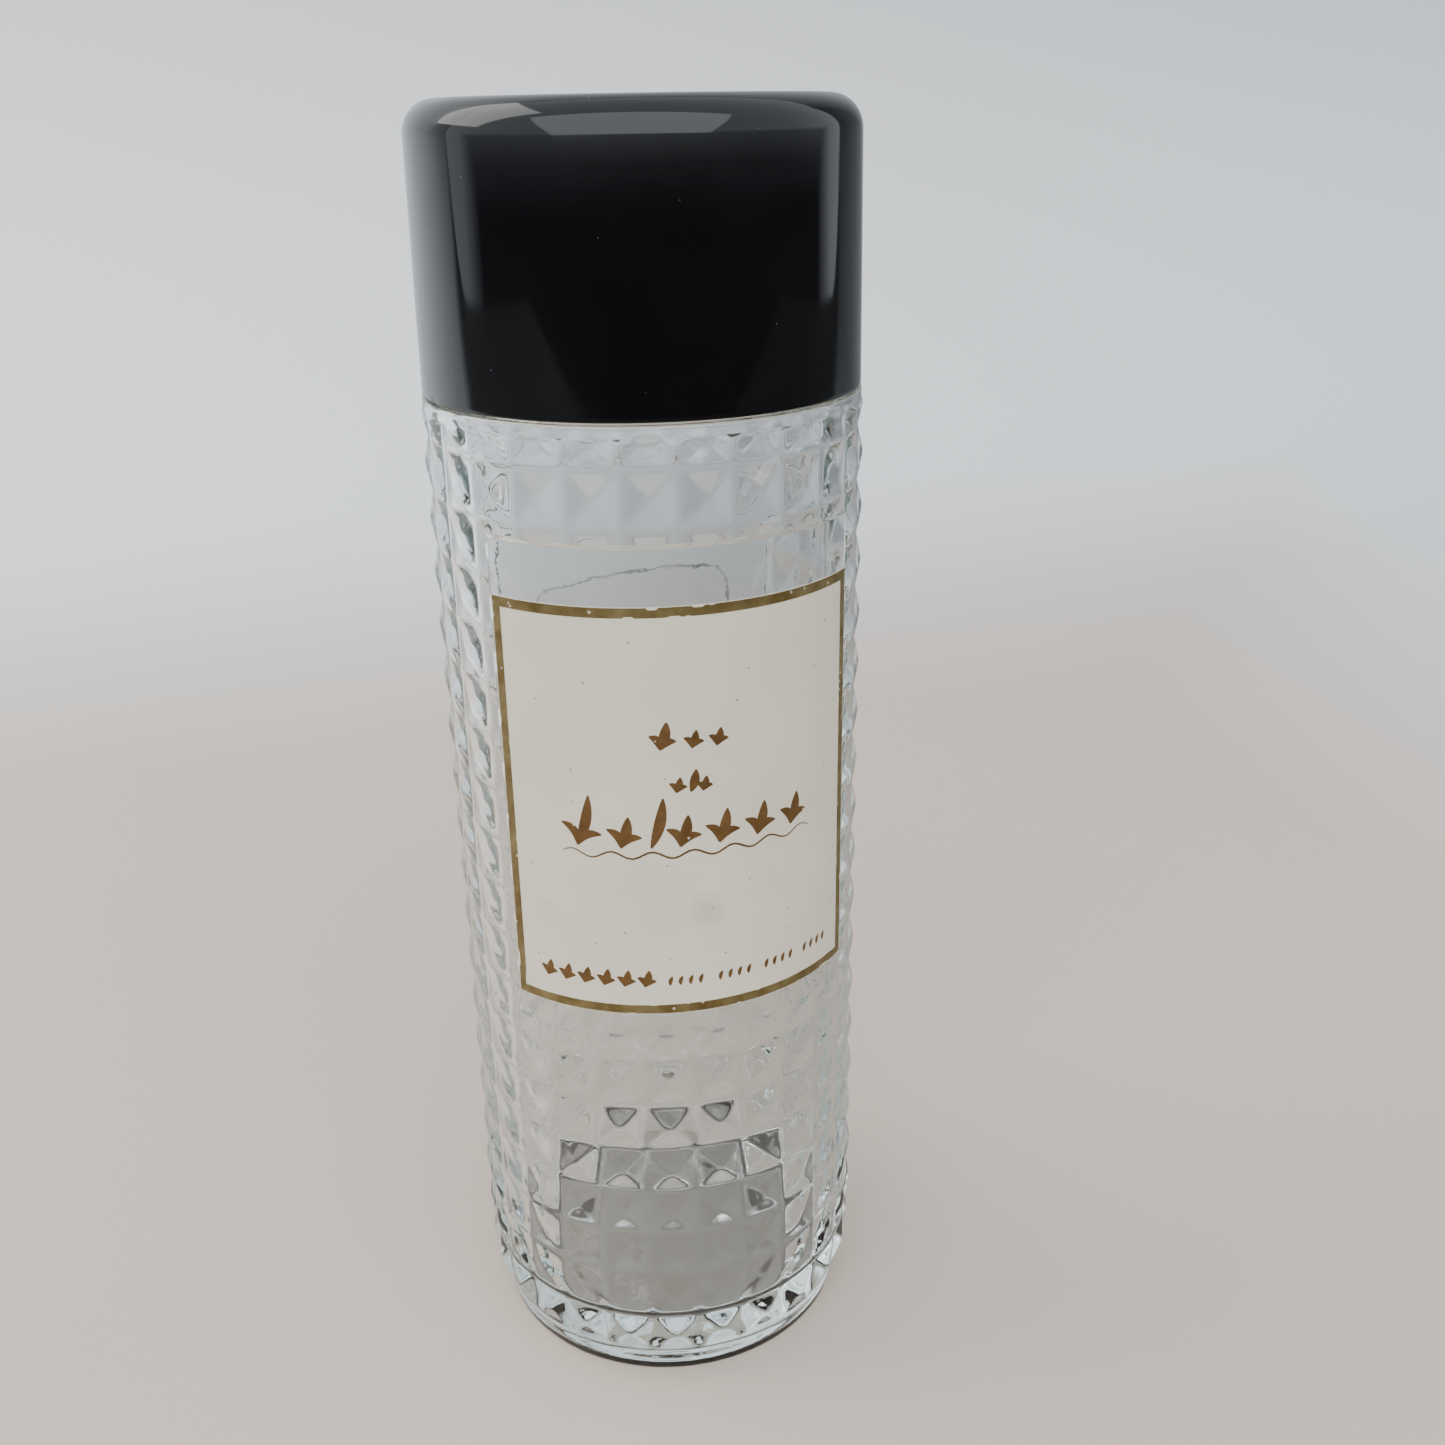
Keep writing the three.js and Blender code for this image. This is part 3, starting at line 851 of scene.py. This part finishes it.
# The printed ornament: rows of leaning buds, a tendril under the widest row, and a leafy line at the foot.
def ornament():
    f = frontLabel
    shapes = []
    for baseline, buds in f["budRows"]:
        for x, width, height in buds:
            shapes += bud((x - height * 0.1, baseline), width, height)
    baseline, buds = f["budRows"][2]
    tendril = f["tendril"]
    start, end = buds[0][0] - tendril["beyond"], buds[-1][0] + tendril["beyond"]
    line = [(x, baseline - tendril["drop"] + tendril["sway"] * sin((x - start) * tendril["waves"]))
            for x in levels(start, end, 0.7)]
    shapes.append(stem(line, tendril["stroke"]))
    small = f["footBuds"]
    for i in range(small["count"]):
        x = small["firstX"] + small["spacing"] * i
        shapes += bud((x, small["z"]), small["size"], small["size"])
    blade = f["footLeaves"]
    for i in range(blade["count"]):
        if i % blade["inGroup"] != blade["inGroup"] - 1:
            x = blade["firstX"] + blade["spacing"] * i
            shapes.append(leaf(x, blade["z"], pi / 2 - f["lean"], blade["length"], blade["width"], 0.1))
    return shapes


# How far a worn place eats into the gold border, for each side of the frame in turn.
def bite(side, along):
    depth = 0.05 * (1 + waver(along, side * 9, 0, 0.7))
    for place, width, size in frontLabel["wornPlaces"][side]:
        depth += size * (1 - ease(width * 0.6, width, abs(along - place)))
    return depth


# The gold frame: four strips of three points across, one for each side.
def border():
    f = frontLabel
    shapes = []
    for side in range(4):
        flat = side % 2 == 0
        reach = f["halfWidth"] if flat else f["halfHeight"]
        offset = f["halfHeight"] if flat else f["halfWidth"]
        points = []
        count = ceil(2 * reach / 0.22)
        for i in range(count + 1):
            along = mix(-reach, reach, i / count)
            outer = offset - 0.04 - bite(side, along) * 0.5
            inner = offset - f["borderWidth"] + bite(side, along + 3) * 0.35
            for y in (outer, (outer + inner) / 2, inner):
                x = min(abs(along), reach - (offset - y)) * (1 if along > 0 else -1)  # mitred at the corners
                points.append(((x, y), (y, -x), (-x, -y), (-y, x))[side])
        shapes.append((points, [tuple(reversed(face)) for face in gridFaces(count + 1, 3)]))
    return shapes


def makeFrontLabel(paper, gold, bronze):
    f = frontLabel
    verts, faces, points = [], [], []
    columns, rows = 110, 30
    for i in range(rows):
        for j in range(columns):
            across = mix(-f["halfWidth"], f["halfWidth"], j / (columns - 1))
            up = mix(-f["halfHeight"], f["halfHeight"], i / (rows - 1))
            points.append((across, up))
    made = wrapSheet(points, gridFaces(rows, columns), front, f["middleZ"],
                     f["innerRadius"], f["outerRadius"], verts, faces)
    slots = [0] * made
    inks = [(shape, 1) for shape in border()] + [(shape, 2) for shape in ornament()]
    for (points, sheet), slot in inks:
        made = wrapSheet(points, sheet, front, f["middleZ"], f["outerRadius"] - 0.01,
                         f["outerRadius"] + f["inkLift"], verts, faces)
        slots += [slot] * made
    return makePiece("frontLabel", verts, faces, [paper, gold, bronze], "bottle",
                     "front_label", sharp=40, materialAt=slots)


def makeRearLabel(film, rim):
    r = rearLabel
    verts, faces = [], []
    columns, rows = 60, 49
    points = []
    for i in range(rows):
        up = mix(-r["halfHeight"], r["halfHeight"], 0.5 - 0.5 * cos(pi * i / (rows - 1)))
        over = max(0, abs(up) - (r["halfHeight"] - r["corner"]))
        reach = r["halfWidth"] - r["corner"] + sqrt(max(0, r["corner"] ** 2 - over ** 2))
        for j in range(columns):
            across = mix(-reach, reach, j / (columns - 1))
            points.append((across * cos(r["tilt"]) + up * sin(r["tilt"]) + r["aside"],
                           up * cos(r["tilt"]) - across * sin(r["tilt"])))
    made = wrapSheet(points, gridFaces(rows, columns), back, r["middleZ"],
                     r["innerRadius"], r["outerRadius"], verts, faces)
    slots = []
    for i in range(rows - 1):
        for j in range(columns - 1):
            onRim = min(i, rows - 2 - i) < r["rimRows"] or j in (0, columns - 2)
            slots += [1, 1] if onRim else [0, 0]  # the outer face and the one beneath it
    slots += [1] * (made - len(slots))
    return makePiece("rearLabel", verts, faces, [film, rim], "bottle",
                     "rear_label", sharp=40, materialAt=slots)


# A soft round mark on a surface, 1 in its middle.
def addSpot(tree, place, middle, radius):
    gap = addNode(tree, "ShaderNodeVectorMath", {0: place, 1: middle}, operation="DISTANCE")
    return addRange(tree, gap.outputs["Value"], radius * 0.2, radius, 1, 0)


def makeLabelPaper():
    f = frontLabel
    material, tree, shader = newMaterial("labelPaper", IOR=1.45)
    colour = addColour(tree, shader, f["paper"], f["paperShade"], 70, f["fleck"],
                       {"Count": 520, "Width": 0.09, "Share": 0.25})
    place = addNode(tree, "ShaderNodeTexCoord").outputs["Object"]
    rough = addNode(tree, "ShaderNodeTexNoise", {"Vector": place, "Scale": 260, "Detail": 3})
    pushed = addNode(tree, "ShaderNodeVectorMath", {0: rough.outputs["Color"], 1: [f["smudgeBlur"]] * 3},
                     operation="MULTIPLY")
    moved = addNode(tree, "ShaderNodeVectorMath", {0: place, 1: pushed.outputs["Vector"]}, operation="ADD")
    for smudge in f["smudges"]:
        spot = addSpot(tree, moved.outputs["Vector"], smudge["middle"], smudge["radius"])
        faint = addMath(tree, "MULTIPLY", spot, smudge["strength"])
        colour = mixColours(tree, faint, colour, f["smudge"])
    tree.links.new(colour, shader.inputs["Base Color"])
    addRoughness(tree, shader, 200, 0.55, 0.72)
    grain = addGroup(tree, grainGroup, {"Waves": 500, "Grain": 3600, "Share": 0.6})
    addBump(tree, shader, grain.outputs["Height"], 0.25, 0.00012)
    return material


# Printed metal ink, rubbed through to the paper in places.
def makeInk(name, main, dark, metal, wear):
    f = frontLabel
    material, tree, shader = newMaterial(name, IOR=1.45)
    colour = addColour(tree, shader, main, dark, 420)
    rubbed = addGroup(tree, specksGroup, {"Count": 1500, "Width": 0.3, "Share": wear}).outputs["Mask"]
    tree.links.new(mixColours(tree, rubbed, colour, f["worn"]), shader.inputs["Base Color"])
    tree.links.new(addRange(tree, rubbed, 0, 1, metal, 0), shader.inputs["Metallic"])
    addRoughness(tree, shader, 600, 0.38, 0.55)
    grain = addGroup(tree, grainGroup, {"Waves": 700, "Grain": 3000, "Share": 0.5})
    addBump(tree, shader, grain.outputs["Height"], 0.3, 0.0001)
    return material


# Clear film, or the dusty rim round it: only the colours and the size of their patches differ.
def makeRearFilm(name, main, other, size):
    material, tree, shader = newMaterial(name, IOR=1.3, Transmission_Weight=1)
    addColour(tree, shader, main, other, size)
    addRoughness(tree, shader, 220, 0.04, 0.09)
    grain = addGroup(tree, grainGroup, {"Waves": 240, "Grain": 2400, "Share": 0.4})
    addBump(tree, shader, grain.outputs["Height"], 0.2, 0.0001)
    return material


makeFrontLabel(makeLabelPaper(),
               makeInk("goldInk", frontLabel["gold"], frontLabel["goldDark"], 0.55, 0.06),
               makeInk("bronzeInk", frontLabel["bronze"], frontLabel["bronzeDark"], 0.35, 0.03))
makeRearLabel(makeRearFilm("rearFilm", rearLabel["film"], rearLabel["filmShade"], 60),
              makeRearFilm("rearFilmRim", rearLabel["rim"], rearLabel["rimShade"], 170))
print("labels made")


# Studio: a pale floor that curves up into a pale wall, a soft light behind on the left and a large one in
# front. Reflections and the glass see a darker room in front and to the right than the camera does.
studio = {
    "halfWidth": 1.6,
    "frontEdge": -0.75,
    "sweepStart": 0.36,
    "sweepRadius": 0.25,
    "height": 1.3,
    "floor": (0.56, 0.465, 0.385, 1),
    "wall": (0.72, 0.735, 0.75, 1),
    "airSeen": (0.42, 0.43, 0.44, 1),
    "air": (0.80, 0.86, 0.92, 1),
    "airInFront": (0.06, 0.06, 0.07, 1),
    "airStrength": 1.5,
    "airBehind": (0.02, 0.2),
    "airAbove": (-0.04, 0.12),
    "wallFades": (-0.12, 0.1),
    "floorFades": (0.2, 0.4),
    "shadeInFront": 0.12,
    "frontReach": (-0.13, -0.24),
    "frontCurve": -0.5,
    "shadeLowRight": 0.25,
    "slopeReach": (-0.3, 0.45),
    "shadeRight": 0.5,
    "rightReach": (-0.12, 0.12),
    "bounces": 20,
}
lights = (
    {"name": "keyLight", "place": (-0.75, 0.3, 0.85), "size": (0.8, 0.8), "watts": 7,
     "colour": (1, 0.98, 0.95)},
    {"name": "frontLight", "place": (-0.2, -1.1, 0.9), "size": (2.4, 1.5), "watts": 22,
     "colour": (0.96, 0.98, 1)},
)


def makeSweep():
    s = studio
    profile = [(s["frontEdge"], 0), (0, 0), (s["sweepStart"], 0)]
    for i in range(1, 13):
        t = i / 12 * pi / 2
        profile.append((s["sweepStart"] + s["sweepRadius"] * sin(t), s["sweepRadius"] * (1 - cos(t))))
    profile.append((s["sweepStart"] + s["sweepRadius"], s["height"]))
    verts = [(x, y, z) for y, z in profile for x in (-s["halfWidth"], s["halfWidth"])]
    faces = [(2 * i, 2 * i + 1, 2 * i + 3, 2 * i + 2) for i in range(len(profile) - 1)]
    mesh = bpy.data.meshes.new("sweep")
    mesh.from_pydata(verts, [], faces)
    mesh.polygons.foreach_set("use_smooth", [True] * len(faces))
    mesh.materials.append(makePalePaper())
    sweep = bpy.data.objects.new("sweep", mesh)
    bpy.context.scene.collection.objects.link(sweep)


# Warm floor and cool wall. Only the camera sees them in full: to other rays they are shaded in front of the
# bottle, to its right, and low on the wall.
def makePalePaper():
    s = studio
    material, tree, shader = newMaterial("palePaper", Roughness=0.85)
    place = addNode(tree, "ShaderNodeTexCoord").outputs["Object"]
    parts = addNode(tree, "ShaderNodeSeparateXYZ", {"Vector": place})
    x, y, z = (parts.outputs[axis] for axis in "XYZ")
    rising = addRange(tree, y, s["sweepStart"] + s["wallFades"][0], s["sweepStart"] + s["wallFades"][1])
    aside = addMath(tree, "ABSOLUTE", x)
    away = addMath(tree, "MAXIMUM", rising, addRange(tree, aside, *s["floorFades"]))
    pale = mixColours(tree, away, s["floor"], s["wall"])
    turned = addMath(tree, "MULTIPLY_ADD", aside, s["frontCurve"], y)
    nearer = addRange(tree, turned, *s["frontReach"], 1, s["shadeInFront"])
    slope = addRange(tree, addMath(tree, "SUBTRACT", z, x), *s["slopeReach"], s["shadeLowRight"], 1)
    across = addRange(tree, x, *s["rightReach"], 1, s["shadeRight"])
    onWall = addNode(tree, "ShaderNodeMix", {"Factor": rising, "A": across, "B": slope}, data_type="FLOAT")
    shade = addMath(tree, "MULTIPLY", nearer, onWall.outputs["Result"])
    shaded = mixColours(tree, shade, (0, 0, 0, 1), pale)
    seen = addNode(tree, "ShaderNodeLightPath").outputs["Is Camera Ray"]
    tree.links.new(mixColours(tree, seen, shaded, pale), shader.inputs["Base Color"])
    return material


# The air is an even grey to the camera. To other rays it is bright behind and above the bottle, and dark low
# down in front of it, as a room is.
def makeAir():
    s = studio
    world = bpy.data.worlds.new("studioAir")
    bpy.context.scene.world = world
    world.use_nodes = True
    tree = world.node_tree
    shader = tree.nodes["Background"]
    way = addNode(tree, "ShaderNodeTexCoord").outputs["Generated"]
    parts = addNode(tree, "ShaderNodeSeparateXYZ", {"Vector": way})
    behind = addRange(tree, parts.outputs["Y"], *s["airBehind"])
    above = addRange(tree, parts.outputs["Z"], *s["airAbove"])
    felt = mixColours(tree, addMath(tree, "MAXIMUM", behind, above), s["airInFront"], s["air"])
    seen = addNode(tree, "ShaderNodeLightPath").outputs["Is Camera Ray"]
    tree.links.new(mixColours(tree, seen, felt, s["airSeen"]), shader.inputs["Color"])
    shader.inputs["Strength"].default_value = s["airStrength"]


def makeLight(made):
    lamp = bpy.data.lights.new(made["name"], "AREA")
    lamp.shape = "RECTANGLE"
    lamp.size, lamp.size_y = made["size"]
    lamp.energy, lamp.color = made["watts"], made["colour"]
    light = bpy.data.objects.new(made["name"], lamp)
    bpy.context.scene.collection.objects.link(light)
    light.location = made["place"]
    towards = Vector((0, 0, 0.1)) - light.location
    light.rotation_euler = towards.to_track_quat("-Z", "Y").to_euler()


# Light has to cross the moulded walls many times before it leaves them, so its paths may be long.
def lengthenPaths():
    paths = bpy.context.scene.cycles
    paths.max_bounces = studio["bounces"]
    paths.glossy_bounces = studio["bounces"]
    paths.transmission_bounces = studio["bounces"]


makeSweep()
makeAir()
lengthenPaths()
for made in lights:
    makeLight(made)
print("studio made")


# Camera: close to the bottle, a little above its cap, and turned slightly to the left of the label.
camera = {
    "distance": 0.20714,
    "height": 0.18091,
    "pitch": 0.3843,
    "yaw": 0.0486,
    "roll": 0.0163,
    "roundTheBottle": radians(-8.9),
    "lens": 37.54,
    "sensor": 36,
}


def makeCamera():
    c = camera
    ahead = Vector((sin(c["yaw"]) * cos(c["pitch"]), cos(c["yaw"]) * cos(c["pitch"]), -sin(c["pitch"])))
    aside = Vector((cos(c["yaw"]), -sin(c["yaw"]), 0))
    down = ahead.cross(aside)
    right = cos(c["roll"]) * aside + sin(c["roll"]) * down
    up = sin(c["roll"]) * aside - cos(c["roll"]) * down
    place = Matrix.Identity(4)
    for i, axis in enumerate((right, up, -ahead, Vector((0, -c["distance"], c["height"])))):
        place.col[i][:3] = axis
    data = bpy.data.cameras.new("studioCamera")
    data.sensor_width, data.lens = c["sensor"], c["lens"]
    data.clip_start = 0.01
    made = bpy.data.objects.new("studioCamera", data)
    bpy.context.scene.collection.objects.link(made)
    made.matrix_world = Matrix.Rotation(c["roundTheBottle"], 4, "Z") @ place
    bpy.context.scene.camera = made


makeCamera()
print("camera made")
